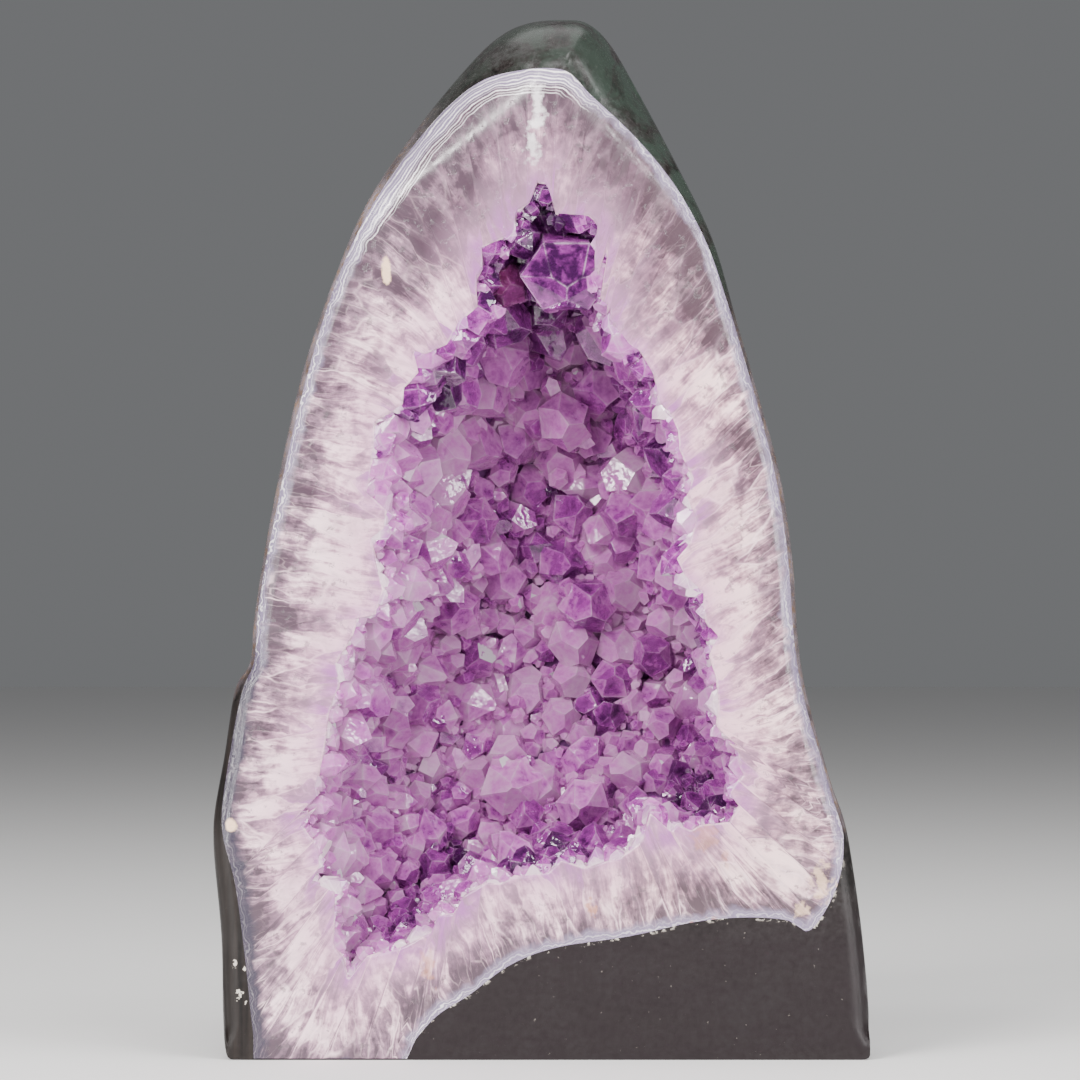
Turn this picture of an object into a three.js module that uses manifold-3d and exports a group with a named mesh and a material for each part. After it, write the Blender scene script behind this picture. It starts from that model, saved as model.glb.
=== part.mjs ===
// Amethyst geode of the cathedral kind: half of a tall basalt nodule, sawn open down its
// length and stood on a sawn foot. From outside to inside it is a skin and foot of basalt,
// a thick wall of quartz with an agate rim, and a hollow lined with amethyst points.
//
// Millimetres, +Z up. The polished front looks along -Y, and the origin is on the floor at
// the middle of the object's footprint. Outlines are drawn in the front plane as [x, z].

import * as THREE from 'three';
import { ConvexGeometry } from 'three/addons/geometries/ConvexGeometry.js';
import { LoftGeometry } from 'three/addons/geometries/LoftGeometry.js';
import { mergeVertices } from 'three/addons/utils/BufferGeometryUtils.js';
import Module from 'manifold-3d';

const wasm = await Module();
wasm.setup();

// Driving sizes
const overallDepth = 172;
const frontY = -overallDepth / 2;
const basaltBehindQuartz = 10; // thickness of the basalt at the back
const hollowDepth = 98;
const liningThickness = 3.5; // purple layer that the crystal points stand on
const fitGap = 0.3; // between one piece and the next

// The sawn edge is ground round: narrowly at the sides, widely over the crown
const sideRound = { inset: 7, depth: 11 };
const crownRound = { inset: 32, depth: 50 };
const crownStarts = 325;
const crownEnds = 412;

// Number of points round each outline, and the quarter turn that shapes each back
const skinSteps = 46;
const floorSteps = 6;
const quartzSteps = 42;
const hollowSteps = 34;
const roundAngles = [0, 32, 62, 90];
const backAngles = [18, 36, 53, 68, 79, 86];
const hollowAngles = [16, 34, 52, 69, 82];
const backFullness = 0.75; // below 1 the back is squarer than an ellipse
const hollowFullness = 0.8;

// Outer edge of the nodule, from the left foot over the crown to the right foot
const skinOutline = [
  [-122, 0], [-128, 8], [-128.6, 48], [-131.8, 82], [-131.6, 98], [-127.4, 121], [-123.4, 143],
  [-117, 159], [-115.2, 176], [-110.4, 208], [-103.6, 247], [-94.6, 280], [-83.6, 312],
  [-70, 344], [-49.6, 376], [-29, 402], [-12, 417], [2, 420], [17, 419.6], [29, 409],
  [38.4, 392], [54.4, 360], [69, 328], [78.4, 296], [87.8, 264], [96.2, 232], [100.8, 200],
  [103.2, 166], [107, 144], [115.8, 112], [124.6, 80], [129, 48], [131.8, 12], [129, 0],
];

// Where quartz meets basalt on the polished face, clockwise from the crown
const contactOutline = [
  [-10, 395], [9, 396], [20, 386], [37, 369], [52, 349], [64, 327], [71, 308], [78.5, 284],
  [87, 254], [93, 228], [97.2, 200], [99, 170], [102.8, 146], [110.6, 120], [116.4, 102],
  [119.6, 86], [116.5, 67], [107.5, 52], [98, 56], [80, 57], [60, 55], [35, 49.5], [6, 45],
  [-12.5, 38], [-29, 26], [-42, 17.5], [-52, 6], [-58, -5], [-112, -5], [-115.5, 12],
  [-118.5, 40], [-122, 70], [-127, 95], [-120.5, 128], [-116, 148], [-110.5, 160],
  [-110, 184], [-103, 216], [-95, 256], [-85.5, 290], [-77.5, 318], [-62, 345], [-40, 374],
  [-24, 388],
];

// Mouth of the hollow on the polished face, clockwise from its top
const mouthOutline = [
  [1.5, 350], [7, 337.5], [19, 337], [27, 321], [19.5, 313.5], [22.5, 303], [34.5, 287],
  [46.5, 271], [55.5, 246], [61, 227], [60, 211.5], [54.5, 200.5], [65, 183], [68.5, 168],
  [70.5, 142], [78, 125], [83, 112], [75.5, 94.5], [62, 93], [52, 92], [39, 93], [18, 77.5],
  [0, 76.5], [-22, 71.5], [-35, 59], [-55, 46], [-73, 36], [-79.5, 40], [-83, 60], [-87, 84],
  [-88.5, 104], [-87, 122], [-83, 146], [-76, 164], [-65, 178], [-64, 196], [-67, 216],
  [-68, 237], [-57, 255], [-52, 276], [-38, 287], [-27, 301], [-24, 320], [-14, 333],
];

// How the hollow runs back from its mouth
const hollow = {
  middle: [-4, 184],
  drift: [12, 14], // the deepest place lies right of and above the middle of the mouth
  undercut: { low: 0.16, right: 0.13 }, // how far the floor and right wall reach behind the rim
  lumps: 0.035,
};

// Crystal points: width of a middling one, and how it changes over the lining
const crystal = {
  radius: 9.5,
  spread: 0.28,
  crownFactor: 1.3, // larger towards the top of the hollow
  footFactor: 0.86, // smaller at the bottom
  neighbourSpacing: 0.98, // distance between two points over the sum of their radii
  pyramidRise: 1.12, // height of the six-sided pyramid over its radius
  lean: 0.3,
  root: 7, // buried length
  candidates: 5200,
  seed: 5959,
};

const colours = { basalt: 0x4b474a, quartz: 0xcfc4cc, amethyst: 0x8f5fa6 };

// The same sequence of numbers on every run
function seededRandom(seed) {
  let state = seed >>> 0;
  return () => {
    state = (Math.imul(state, 1664525) + 1013904223) >>> 0;
    return state / 2 ** 32;
  };
}

const middle = new THREE.Vector2(...hollow.middle);

const radians = (degrees) => THREE.MathUtils.degToRad(degrees);

const toVectors = (outline) => outline.map(([x, z]) => new THREE.Vector2(x, z));

// Evenly spaced points on a closed smooth curve through an outline
function closedLoop(outline, steps) {
  const points = toVectors(outline);
  const curve = new THREE.SplineCurve([...points, points[0]]);
  return curve.getSpacedPoints(steps).slice(0, steps);
}

// The nodule's edge is open at the floor, where straight steps close it
function skinLoop() {
  const arch = new THREE.SplineCurve(toVectors(skinOutline)).getSpacedPoints(skinSteps);
  const right = arch[skinSteps];
  const left = arch[0];
  const floor = Array.from({ length: floorSteps - 1 }, (_, i) =>
    right.clone().lerp(left, (i + 1) / floorSteps));
  return [...arch, ...floor].map((p) => new THREE.Vector2(p.x, Math.max(p.y, 0)));
}

// Gentle swellings of the back, as a share of its size
function swelling(angle, turn) {
  return 0.016 * Math.sin(3 * turn + 1.3) * Math.sin(2 * angle)
    + 0.011 * Math.sin(7 * turn - 0.6 + 3 * angle) * Math.sin(2 * angle);
}

function roundingAt(height) {
  const share = THREE.MathUtils.smoothstep(height, crownStarts, crownEnds);
  return {
    inset: THREE.MathUtils.lerp(sideRound.inset, crownRound.inset, share),
    depth: THREE.MathUtils.lerp(sideRound.depth, crownRound.depth, share),
  };
}

// One section of a back: the outline drawn in towards the middle of the foot, then grown
// outwards by the given amount
function backSection(loop, degrees, depth, grow = 0) {
  const angle = radians(degrees);
  const shrink = Math.cos(angle) ** backFullness;
  return loop.map((p) => {
    const rounding = roundingAt(p.y).depth;
    const scale = shrink * (1 + swelling(angle, Math.atan2(p.y - 150, p.x)));
    const outward = p.clone().sub(middle).normalize();
    const at = p.clone().multiplyScalar(scale).addScaledVector(outward, grow);
    return new THREE.Vector3(at.x, frontY + rounding + (depth - rounding) * Math.sin(angle), at.y);
  });
}

const movedBack = (section, distance) =>
  section.map((p) => new THREE.Vector3(p.x, p.y + distance, p.z));

// One section of the ground edge, between the flat face and the full outline
function edgeSection(loop, degrees) {
  const angle = radians(degrees);
  const faceMiddle = new THREE.Vector2(0, 190);
  return loop.map((p) => {
    const rounding = roundingAt(p.y);
    const inward = faceMiddle.clone().sub(p).normalize();
    inward.y *= THREE.MathUtils.smoothstep(p.y, 0, 30);
    const at = p.clone().addScaledVector(inward, rounding.inset * (1 - Math.sin(angle)));
    return new THREE.Vector3(at.x, frontY + rounding.depth * (1 - Math.cos(angle)), at.y);
  });
}

// A closed solid skinned over sections that run from front to back
function solidOf(geometry) {
  const bare = new THREE.BufferGeometry().copy(geometry);
  bare.deleteAttribute('normal');
  bare.deleteAttribute('uv');
  const merged = mergeVertices(bare, 1e-4);
  return new wasm.Manifold(new wasm.Mesh({
    numProp: 3,
    vertProperties: merged.attributes.position.array,
    triVerts: new Uint32Array(merged.index.array),
  }));
}

function loftSolid(sections) {
  return solidOf(new LoftGeometry(sections, { capStart: true, capEnd: true }));
}

// The whole nodule, as if it were solid rock
function noduleSolid() {
  const loop = skinLoop();
  return loftSolid([
    ...roundAngles.map((degrees) => edgeSection(loop, degrees)),
    ...backAngles.map((degrees) => backSection(loop, degrees, overallDepth)),
  ]);
}

// Everything inside the contact with the basalt, grown outwards by the given amount
function insideContact(grow) {
  const loop = closedLoop(contactOutline, quartzSteps);
  const depth = overallDepth - basaltBehindQuartz;
  const sections = [0, ...backAngles].map((degrees) => backSection(loop, degrees, depth, grow));
  const front = sections[0].map((p) => new THREE.Vector3(p.x, frontY - 8, p.z));
  const end = movedBack(sections.at(-1), grow + 1);
  return loftSolid([front, ...sections, end]);
}

// A point on the wall of the hollow. Turn goes round the mouth and angle from it to the back.
function hollowPoint(p, angle, inset) {
  const arm = p.clone().sub(middle);
  const turn = Math.atan2(arm.y, arm.x);
  const low = Math.max(0, -Math.sin(turn)) * hollow.undercut.low;
  const right = Math.max(0, Math.cos(turn)) * hollow.undercut.right;
  const lump = hollow.lumps * Math.sin(5 * turn + 4 * angle) * Math.sin(angle);
  const reach = Math.cos(angle) ** hollowFullness + (low + right) * Math.sin(2 * angle) + lump;
  const length = Math.max(arm.length() * reach - inset, 0);
  const at = middle.clone().addScaledVector(arm.normalize(), length);
  const depth = (hollowDepth - inset) * Math.sin(angle);
  return new THREE.Vector3(
    at.x + hollow.drift[0] * Math.sin(angle),
    frontY + depth,
    at.y + hollow.drift[1] * Math.sin(angle),
  );
}

// The room inside the hollow, from the given front plane back to its wall
function hollowSolid(inset, startY) {
  const loop = closedLoop(mouthOutline, hollowSteps);
  const rim = loop.map((p) => hollowPoint(p, 0, inset));
  const front = rim.map((p) => new THREE.Vector3(p.x, startY, p.z));
  const back = hollowAngles.map((degrees) =>
    loop.map((p) => hollowPoint(p, radians(degrees), inset)));
  return loftSolid(startY < frontY ? [front, rim, ...back] : [rim, ...back]);
}

// One crystal: a six-sided prism with a six-faced pyramid on it, along +Z from its root
function crystalGeometry(radius, shoulder, random) {
  const corners = Array.from({ length: 6 }, (_, i) => {
    const reach = radius * (0.86 + 0.28 * random());
    return new THREE.Vector3(reach * Math.cos(radians(60 * i)), reach * Math.sin(radians(60 * i)), 0);
  });
  const tip = new THREE.Vector3(
    radius * 0.24 * (random() - 0.5),
    radius * 0.24 * (random() - 0.5),
    shoulder + radius * crystal.pyramidRise,
  );
  return new ConvexGeometry([
    ...corners.map((c) => c.clone().setZ(-crystal.root)),
    ...corners.map((c) => c.clone().setZ(shoulder)),
    tip,
  ]);
}

// Places for crystals on the lining, each clear of those before it
function crystalPlaces(random) {
  const mouth = closedLoop(mouthOutline, 240);
  const places = [];
  for (let i = 0; i < crystal.candidates; i++) {
    const along = random() * mouth.length;
    const p = mouth[Math.floor(along)];
    const angle = Math.asin(Math.sqrt(0.0009 + 0.985 * random()));
    const at = hollowPoint(p, angle, liningThickness);
    const bySide = THREE.MathUtils.mapLinear(at.z, 40, 330, crystal.footFactor, crystal.crownFactor);
    const radius = crystal.radius * bySide * (1 + crystal.spread * (2 * random() - 1));
    const free = places.every((other) =>
      other.at.distanceTo(at) > crystal.neighbourSpacing * (other.radius + radius));
    if (free) places.push({ at, radius, normal: inwardNormal(p, angle) });
  }
  return places;
}

// Direction from the wall of the hollow into its room
function inwardNormal(p, angle) {
  const step = 0.02;
  const side = new THREE.Vector2(p.x, p.y).rotateAround(middle, step);
  const at = hollowPoint(p, angle, liningThickness);
  const alongTurn = hollowPoint(side, angle, liningThickness).sub(at);
  const alongBack = hollowPoint(p, Math.min(angle + step, 1.5), liningThickness).sub(at);
  const normal = alongTurn.cross(alongBack).normalize();
  const toRoom = new THREE.Vector3(middle.x, frontY, middle.y).sub(at);
  return normal.dot(toRoom) < 0 ? normal.negate() : normal;
}

function crystalSolids() {
  const random = seededRandom(crystal.seed);
  return crystalPlaces(random).map(({ at, radius, normal }) => {
    const lean = new THREE.Vector3(random() - 0.5, random() - 0.5, random() - 0.5);
    const axis = normal.clone().addScaledVector(lean, 2 * crystal.lean).normalize();
    const geometry = crystalGeometry(radius, radius * 0.45 * random(), random);
    geometry.rotateZ(random() * Math.PI);
    geometry.applyQuaternion(new THREE.Quaternion()
      .setFromUnitVectors(new THREE.Vector3(0, 0, 1), axis));
    geometry.translate(at.x, at.y, at.z);
    return solidOf(geometry);
  });
}

function meshOf(name, solid, material) {
  const { vertProperties, triVerts } = solid.getMesh();
  const geometry = new THREE.BufferGeometry()
    .setAttribute('position', new THREE.BufferAttribute(new Float32Array(vertProperties), 3))
    .setIndex(new THREE.BufferAttribute(new Uint32Array(triVerts), 1));
  geometry.computeVertexNormals();
  const mesh = new THREE.Mesh(geometry, material);
  mesh.name = name;
  return mesh;
}

// Basalt: the skin, the crown and the foot, all one rock round the quartz
function basaltMatrix(nodule) {
  const material = new THREE.MeshStandardMaterial({ color: colours.basalt, roughness: 0.5 });
  return meshOf('basalt_matrix', nodule.subtract(insideContact(fitGap * 1.5)), material);
}

// Quartz: the thick wall, open at the front
function quartzWall(nodule) {
  const material = new THREE.MeshStandardMaterial({ color: colours.quartz, roughness: 0.3 });
  const wall = nodule.intersect(insideContact(0)).subtract(hollowSolid(0, frontY - 20));
  return meshOf('quartz_wall', wall, material);
}

// Amethyst: the lining and every point on it, grown together, ground off level at the front
function amethystCrust() {
  const room = hollowSolid(fitGap, frontY);
  const open = hollowSolid(liningThickness, frontY - 20);
  const space = open.subtract(wasm.Manifold.union(crystalSolids()));
  const material = new THREE.MeshStandardMaterial({ color: colours.amethyst, roughness: 0.15 });
  return meshOf('amethyst_crust', room.subtract(space), material);
}

const nodule = noduleSolid();
const geode = new THREE.Group();
geode.add(basaltMatrix(nodule), quartzWall(nodule), amethystCrust());

export default geode;
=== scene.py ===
import itertools
import math

import bpy
import numpy as np
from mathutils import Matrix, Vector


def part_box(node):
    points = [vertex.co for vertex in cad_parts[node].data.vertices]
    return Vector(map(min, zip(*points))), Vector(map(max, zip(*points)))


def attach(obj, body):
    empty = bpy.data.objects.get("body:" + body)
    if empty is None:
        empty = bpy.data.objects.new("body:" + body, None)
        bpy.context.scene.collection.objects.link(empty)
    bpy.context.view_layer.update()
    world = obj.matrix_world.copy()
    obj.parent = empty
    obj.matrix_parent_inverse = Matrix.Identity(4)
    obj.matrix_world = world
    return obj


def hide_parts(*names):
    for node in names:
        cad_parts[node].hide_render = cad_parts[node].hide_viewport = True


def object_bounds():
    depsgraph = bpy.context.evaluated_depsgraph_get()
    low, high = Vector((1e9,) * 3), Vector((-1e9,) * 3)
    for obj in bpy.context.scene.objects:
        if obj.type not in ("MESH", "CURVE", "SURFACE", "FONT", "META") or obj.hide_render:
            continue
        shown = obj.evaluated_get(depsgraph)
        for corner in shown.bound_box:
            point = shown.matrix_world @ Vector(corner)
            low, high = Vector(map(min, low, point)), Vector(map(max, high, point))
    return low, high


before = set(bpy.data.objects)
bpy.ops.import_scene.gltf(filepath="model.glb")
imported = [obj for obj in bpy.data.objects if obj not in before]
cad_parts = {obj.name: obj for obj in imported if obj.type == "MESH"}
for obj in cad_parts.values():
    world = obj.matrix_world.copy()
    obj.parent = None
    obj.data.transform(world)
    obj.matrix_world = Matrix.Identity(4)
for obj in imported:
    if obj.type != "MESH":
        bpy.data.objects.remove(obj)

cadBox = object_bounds()
mm = 0.001

# The geode's own sizes, in millimetres. Outlines are given as (x, z) on the polished front,
# clockwise from the crown.
geode = {
    "middle": (-4, 184),  # middle of the mouth
    "backBehindQuartz": 10,
    "steps": 24,  # stretches between two given points of an outline
    "columns": 900,  # points round each outline
    "smoothing": 30,  # rounds of blending that turn the mouth into a plain oval
    "backFullness": 0.75,
    "sharpAngle": 40,
    "side": {"inset": 7, "depth": 11},
    "crown": {"inset": 32, "depth": 50},
    "crownFrom": 325,
    "crownTo": 412,
    "skin": [
        (10, 420), (19, 418.5), (28, 410), (38.4, 392), (54.4, 360), (69, 328), (78.4, 296),
        (90, 256), (96.2, 232), (100.8, 200), (103.2, 166), (107, 144), (115.8, 112), (121.4, 96),
        (124.6, 80), (129, 48), (131.6, 14), (129, 0), (90, 0), (50, 0), (6, 0), (-25, 0), (-60, 0),
        (-90, 0), (-119, 0), (-127, 6), (-128.6, 48), (-131.6, 82), (-131.4, 98), (-127.4, 121),
        (-123, 148), (-117, 159), (-115.4, 176), (-110.4, 208), (-102, 250), (-94.6, 280),
        (-83.6, 312), (-70, 344), (-49.6, 376), (-29, 402), (-16, 414), (-4, 419),
    ],
    "contact": [
        (9, 396), (20, 386), (38, 369), (53.5, 350), (66, 327), (73.5, 306), (80.3, 284),
        (88.8, 254), (94.8, 228), (98.8, 200), (101, 170), (104.8, 146), (112.2, 120), (117.4, 102),
        (121, 88), (118, 69), (107.5, 52), (98, 56), (80, 57), (60, 55), (35, 49.5), (6, 45),
        (-12.5, 38), (-29, 26), (-42, 17.5), (-52, 6), (-58, -5), (-85, -5), (-112, -5),
        (-115.5, 12), (-118.5, 40), (-122.5, 70), (-128, 95), (-124, 127), (-119.6, 148),
        (-115, 160), (-113, 184), (-107, 216), (-99.8, 250), (-89.3, 290), (-79.6, 318), (-66, 345),
        (-45.5, 374), (-27, 391), (-10, 396),
    ],
    "mouth": [
        (-1.8, 350.8), (2.2, 350), (5.8, 338), (19, 337.2), (23.8, 332.4), (26.6, 320.8),
        (23, 319.2), (19, 313.6), (21.8, 306), (27.8, 300.4), (25.8, 296.4), (34.6, 286),
        (39.8, 282.8), (45.4, 271.6), (46.6, 263.6), (51.8, 258), (54.6, 251.2), (55, 244.4),
        (60.2, 232.8), (57.8, 224.8), (61.4, 215.6), (59, 206.4), (53.8, 200.4), (57, 193.6),
        (63.8, 186.8), (65.4, 175.2), (69.4, 169.6), (67, 161.6), (69.8, 152.4), (70.6, 142),
        (69.8, 134), (74.2, 127.2), (78.6, 126), (78.6, 116.8), (80.6, 115.2), (74.6, 107.2),
        (79, 102), (75, 95.2), (63.4, 94), (59.8, 92), (53.8, 94.8), (51.4, 92), (43.4, 98.8),
        (40.6, 89.2), (31.4, 80.8), (17, 77.2), (7.8, 80), (2.6, 75.2), (-10.6, 74), (-16.6, 70.8),
        (-22.6, 71.2), (-31.4, 65.6), (-34.6, 59.2), (-41.4, 58), (-43.4, 51.6), (-55.4, 46),
        (-69.8, 41.6), (-77.4, 31.6), (-78.6, 40.4), (-83, 47.2), (-82.2, 68), (-92.6, 73.2),
        (-88.2, 77.6), (-89.4, 85.6), (-98.2, 97.6), (-88.2, 102.8), (-89.4, 110.8), (-87.4, 120.4),
        (-85, 138), (-80.6, 150), (-81.8, 158.8), (-75.4, 169.6), (-73.4, 176.8), (-66.2, 178),
        (-63, 188), (-66.2, 198.4), (-67.4, 208.4), (-63, 212.4), (-61.8, 219.6), (-69.4, 226.8),
        (-67.4, 239.2), (-66.2, 255.6), (-55, 261.6), (-55, 268.8), (-49, 274.8), (-51, 282.8),
        (-45.8, 282.4), (-37.8, 286), (-32.6, 295.2), (-25.4, 301.2), (-26.2, 312), (-23.4, 316.4),
        (-23.8, 324.8), (-11.4, 330), (-10.2, 338.8), (-4.6, 342.4),
    ],
}

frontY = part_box("basalt_matrix")[0][1]
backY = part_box("basalt_matrix")[1][1]
middle = np.array(geode["middle"]) * mm


# Random numbers on a cubic lattice of the given spacing, blended smoothly between corners
def latticeNoise(points, spacing, seed):
    cell = points / spacing
    corner = np.floor(cell).astype(np.int64)
    part = cell - corner
    part = part * part * (3 - 2 * part)
    total = np.zeros(points.shape[:-1])
    for step in itertools.product((0, 1), repeat=3):
        at = corner + np.array(step)
        mixed = at[..., 0] * 73856093 ^ at[..., 1] * 19349663 ^ at[..., 2] * 83492791 ^ seed * 7919
        mixed = ((mixed & 0xFFFFFFFF) * 1274126177) & 0xFFFFFFFF
        value = ((mixed >> 15) & 0xFFFF) / 32767.5 - 1
        weight = np.prod(np.where(step, part, 1 - part), axis=-1)
        total += value * weight
    return total


# The sum of lattice noises, each of half the spacing and half the height of the one before
def fractalNoise(points, spacing, seed, octaves=3):
    layers = [latticeNoise(points, spacing / 2**k, seed + k) / 2**k for k in range(octaves)]
    return sum(layers)


# 0 below low, 1 above high, and an S-curve between
def smoothStep(value, low, high):
    part = np.clip((value - low) / (high - low), 0, 1)
    return part * part * (3 - 2 * part)


# A closed curve through every point, a cubic between each pair that leans on their neighbours
def curveThrough(points):
    before, after, beyond = (np.roll(points, k, axis=0) for k in (1, -1, -2))
    t = np.linspace(0, 1, geode["steps"], endpoint=False)[None, :, None]
    a, b, c, d = (p[:, None, :] for p in (before, points, after, beyond))
    curve = 0.5 * (2 * b + (c - a) * t + (2 * a - 5 * b + 4 * c - d) * t**2
                   + (3 * b - a - 3 * c + d) * t**3)
    return curve.reshape(-1, 2)


# Straight lines from point to point
def linesThrough(points):
    t = np.linspace(0, 1, geode["steps"], endpoint=False)[None, :, None]
    return (points[:, None] * (1 - t) + np.roll(points, -1, axis=0)[:, None] * t).reshape(-1, 2)


# An outline seen from the middle of the mouth: how far off it is at even bearings, clockwise
# from straight up
def outlineReach(points, draw):
    arm = draw(np.array(points, float) * mm) - middle
    bearing = np.mod(np.arctan2(arm[:, 0], arm[:, 1]), 2 * math.pi)
    return np.interp(bearings, bearing, np.linalg.norm(arm, axis=1), period=2 * math.pi)


# Points at those bearings and the given distances
def fromMiddle(reach):
    return middle + np.column_stack([np.sin(bearings), np.cos(bearings)]) * reach[:, None]


bearings = np.linspace(0, 2 * math.pi, geode["columns"], endpoint=False)
skin = fromMiddle(outlineReach(geode["skin"], curveThrough))
skin[:, 1] = np.maximum(skin[:, 1], 0)
contact = fromMiddle(outlineReach(geode["contact"], curveThrough))
mouthReach = outlineReach(geode["mouth"], linesThrough)
mouth = fromMiddle(mouthReach)
for _ in range(geode["smoothing"]):
    mouthReach = (np.roll(mouthReach, 6) + mouthReach + np.roll(mouthReach, -6)) / 3
smoothMouth = fromMiddle(mouthReach)


# The nearest column of an outline to each point, and how far off it is, a block at a time
def nearestOn(outline, points):
    flat = points.reshape(-1, 2)
    index = np.empty(len(flat), int)
    distance = np.empty(len(flat))
    size = 4000
    for start in range(0, len(flat), size):
        part = slice(start, start + size)
        gaps = np.linalg.norm(flat[part, None] - outline[None], axis=2)
        index[part] = gaps.argmin(axis=1)
        distance[part] = gaps.min(axis=1)
    return index.reshape(points.shape[:-1]), distance.reshape(points.shape[:-1])


# Inset and depth of the ground edge beside each skin column: wide over the crown, none at
# the floor
def edgeRound(height):
    share = smoothStep(height, geode["crownFrom"] * mm, geode["crownTo"] * mm)
    floorShare = smoothStep(height, 0, 14 * mm)
    side, crown = geode["side"], geode["crown"]
    inset = (side["inset"] + (crown["inset"] - side["inset"]) * share) * mm * floorShare
    depth = (side["depth"] + (crown["depth"] - side["depth"]) * share) * mm * floorShare
    return inset, depth


# How far back the front surface lies: none on the flat, a quarter ellipse within the inset
def frontDepth(points):
    index, distance = nearestOn(skin, points)
    inset, depth = edgeRound(skin[index, 1])
    inside = np.clip(1 - distance / np.maximum(inset, 1e-6), 0, 1)
    return depth * (1 - np.sqrt(1 - inside**2))


# A ring on the front: the given share of the way from one outline to another
def frontRing(inner, outer, share):
    at = inner + (outer - inner) * share
    return np.column_stack([at[:, 0], frontY + frontDepth(at), at[:, 1]])


# A ring on the back: the outline drawn in towards the middle of the foot by a power of the
# cosine, with the swellings of a natural nodule
def backRing(outline, degrees, depth):
    angle = math.radians(degrees)
    turn = np.arctan2(outline[:, 1] - 150 * mm, outline[:, 0])
    swelling = 0.016 * np.sin(3 * turn + 1.3) * math.sin(2 * angle)
    swelling += 0.011 * np.sin(7 * turn - 0.6 + 3 * angle) * math.sin(2 * angle)
    scale = math.cos(angle) ** geode["backFullness"] * (1 + swelling)
    edgeDepth = edgeRound(outline[:, 1])[1]
    y = frontY + edgeDepth + (depth - edgeDepth) * math.sin(angle)
    return np.column_stack([outline[:, 0] * scale, y, outline[:, 1] * scale])


hollow = {
    "depth": 98,
    "drift": (12, 14),  # the deepest place lies right of and above the middle of the mouth
    "low": 0.16,  # how far the floor of the hollow reaches behind the rim
    "right": 0.13,
    "fullness": 0.8,
    "lining": 3.5,
}


# A ring on the hollow's wall: arms from the middle to the mouth, shortened by a power of the
# cosine towards the back, longer behind the low and the right rim
def hollowRing(degrees, inset):
    angle = math.radians(degrees)
    share = smoothStep(degrees, 4, 40)
    arm = mouth * (1 - share) + smoothMouth * share - middle
    length = np.linalg.norm(arm, axis=1)
    turn = np.arctan2(arm[:, 1], arm[:, 0])
    undercut = np.maximum(0, -np.sin(turn)) * hollow["low"]
    undercut += np.maximum(0, np.cos(turn)) * hollow["right"]
    lump = 0.035 * np.sin(5 * turn + 4 * angle) * math.sin(angle)
    reach = math.cos(angle) ** hollow["fullness"] + undercut * math.sin(2 * angle) + lump
    at = middle + arm / length[:, None] * np.maximum(length * reach - inset * mm, 0)[:, None]
    at = at + np.array(hollow["drift"]) * mm * math.sin(angle)
    y = np.full(len(at), frontY + (hollow["depth"] - inset) * mm * math.sin(angle))
    return np.column_stack([at[:, 0], y, at[:, 1]])


# A closed mesh skinned over rings of equal count, each end drawn to one point
def ringMesh(name, rings, attributes=None):
    rings = np.clip(np.array(rings), np.array(cadBox[0]), np.array(cadBox[1]))
    count, around = rings.shape[:2]
    first, last = rings[0].mean(axis=0), rings[-1].mean(axis=0)
    points = np.vstack([rings.reshape(-1, 3), first, last])
    column = np.arange(around)
    following = (column + 1) % around
    base = (np.arange(count - 1) * around)[:, None]
    quads = np.stack([base + column, base + following, base + around + following,
                      base + around + column], axis=-1).reshape(-1, 4)
    end = (count - 1) * around
    firstFan = np.column_stack([following, column, np.full(around, count * around)])
    lastFan = np.column_stack([end + column, end + following, np.full(around, count * around + 1)])
    a, b, c, d = (points[quads[:, k]] for k in range(4))
    volume = np.einsum("ij,ij->", a, np.cross(b, c)) + np.einsum("ij,ij->", a, np.cross(c, d))
    if volume < 0:
        quads, firstFan, lastFan = quads[:, ::-1], firstFan[:, ::-1], lastFan[:, ::-1]
    mesh = bpy.data.meshes.new(name)
    mesh.from_pydata(points, [], quads.tolist() + firstFan.tolist() + lastFan.tolist())
    for key, values in (attributes or {}).items():
        isVector = values.ndim == 3
        layer = mesh.attributes.new(key, "FLOAT_VECTOR" if isVector else "FLOAT", "POINT")
        full = np.concatenate([values[0, 0], values[-1, 0]]) if isVector else values[[0, -1], 0]
        full = np.append(values.ravel(), full).astype(np.float32)
        layer.data.foreach_set("vector" if isVector else "value", full)
    mesh.polygons.foreach_set("use_smooth", np.ones(len(mesh.polygons), bool))
    mesh.set_sharp_from_angle(angle=math.radians(geode["sharpAngle"]))
    mesh.validate()
    piece = bpy.data.objects.new(name, mesh)
    bpy.context.scene.collection.objects.link(piece)
    return piece


# Unit normals of a grid of rings: the cross product of the ways along and round it
def gridNormals(rings):
    along = np.gradient(rings, axis=0)
    around = np.roll(rings, -1, axis=1) - np.roll(rings, 1, axis=1)
    normal = np.cross(along, around)
    return normal / np.maximum(np.linalg.norm(normal, axis=2, keepdims=True), 1e-12)


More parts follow.
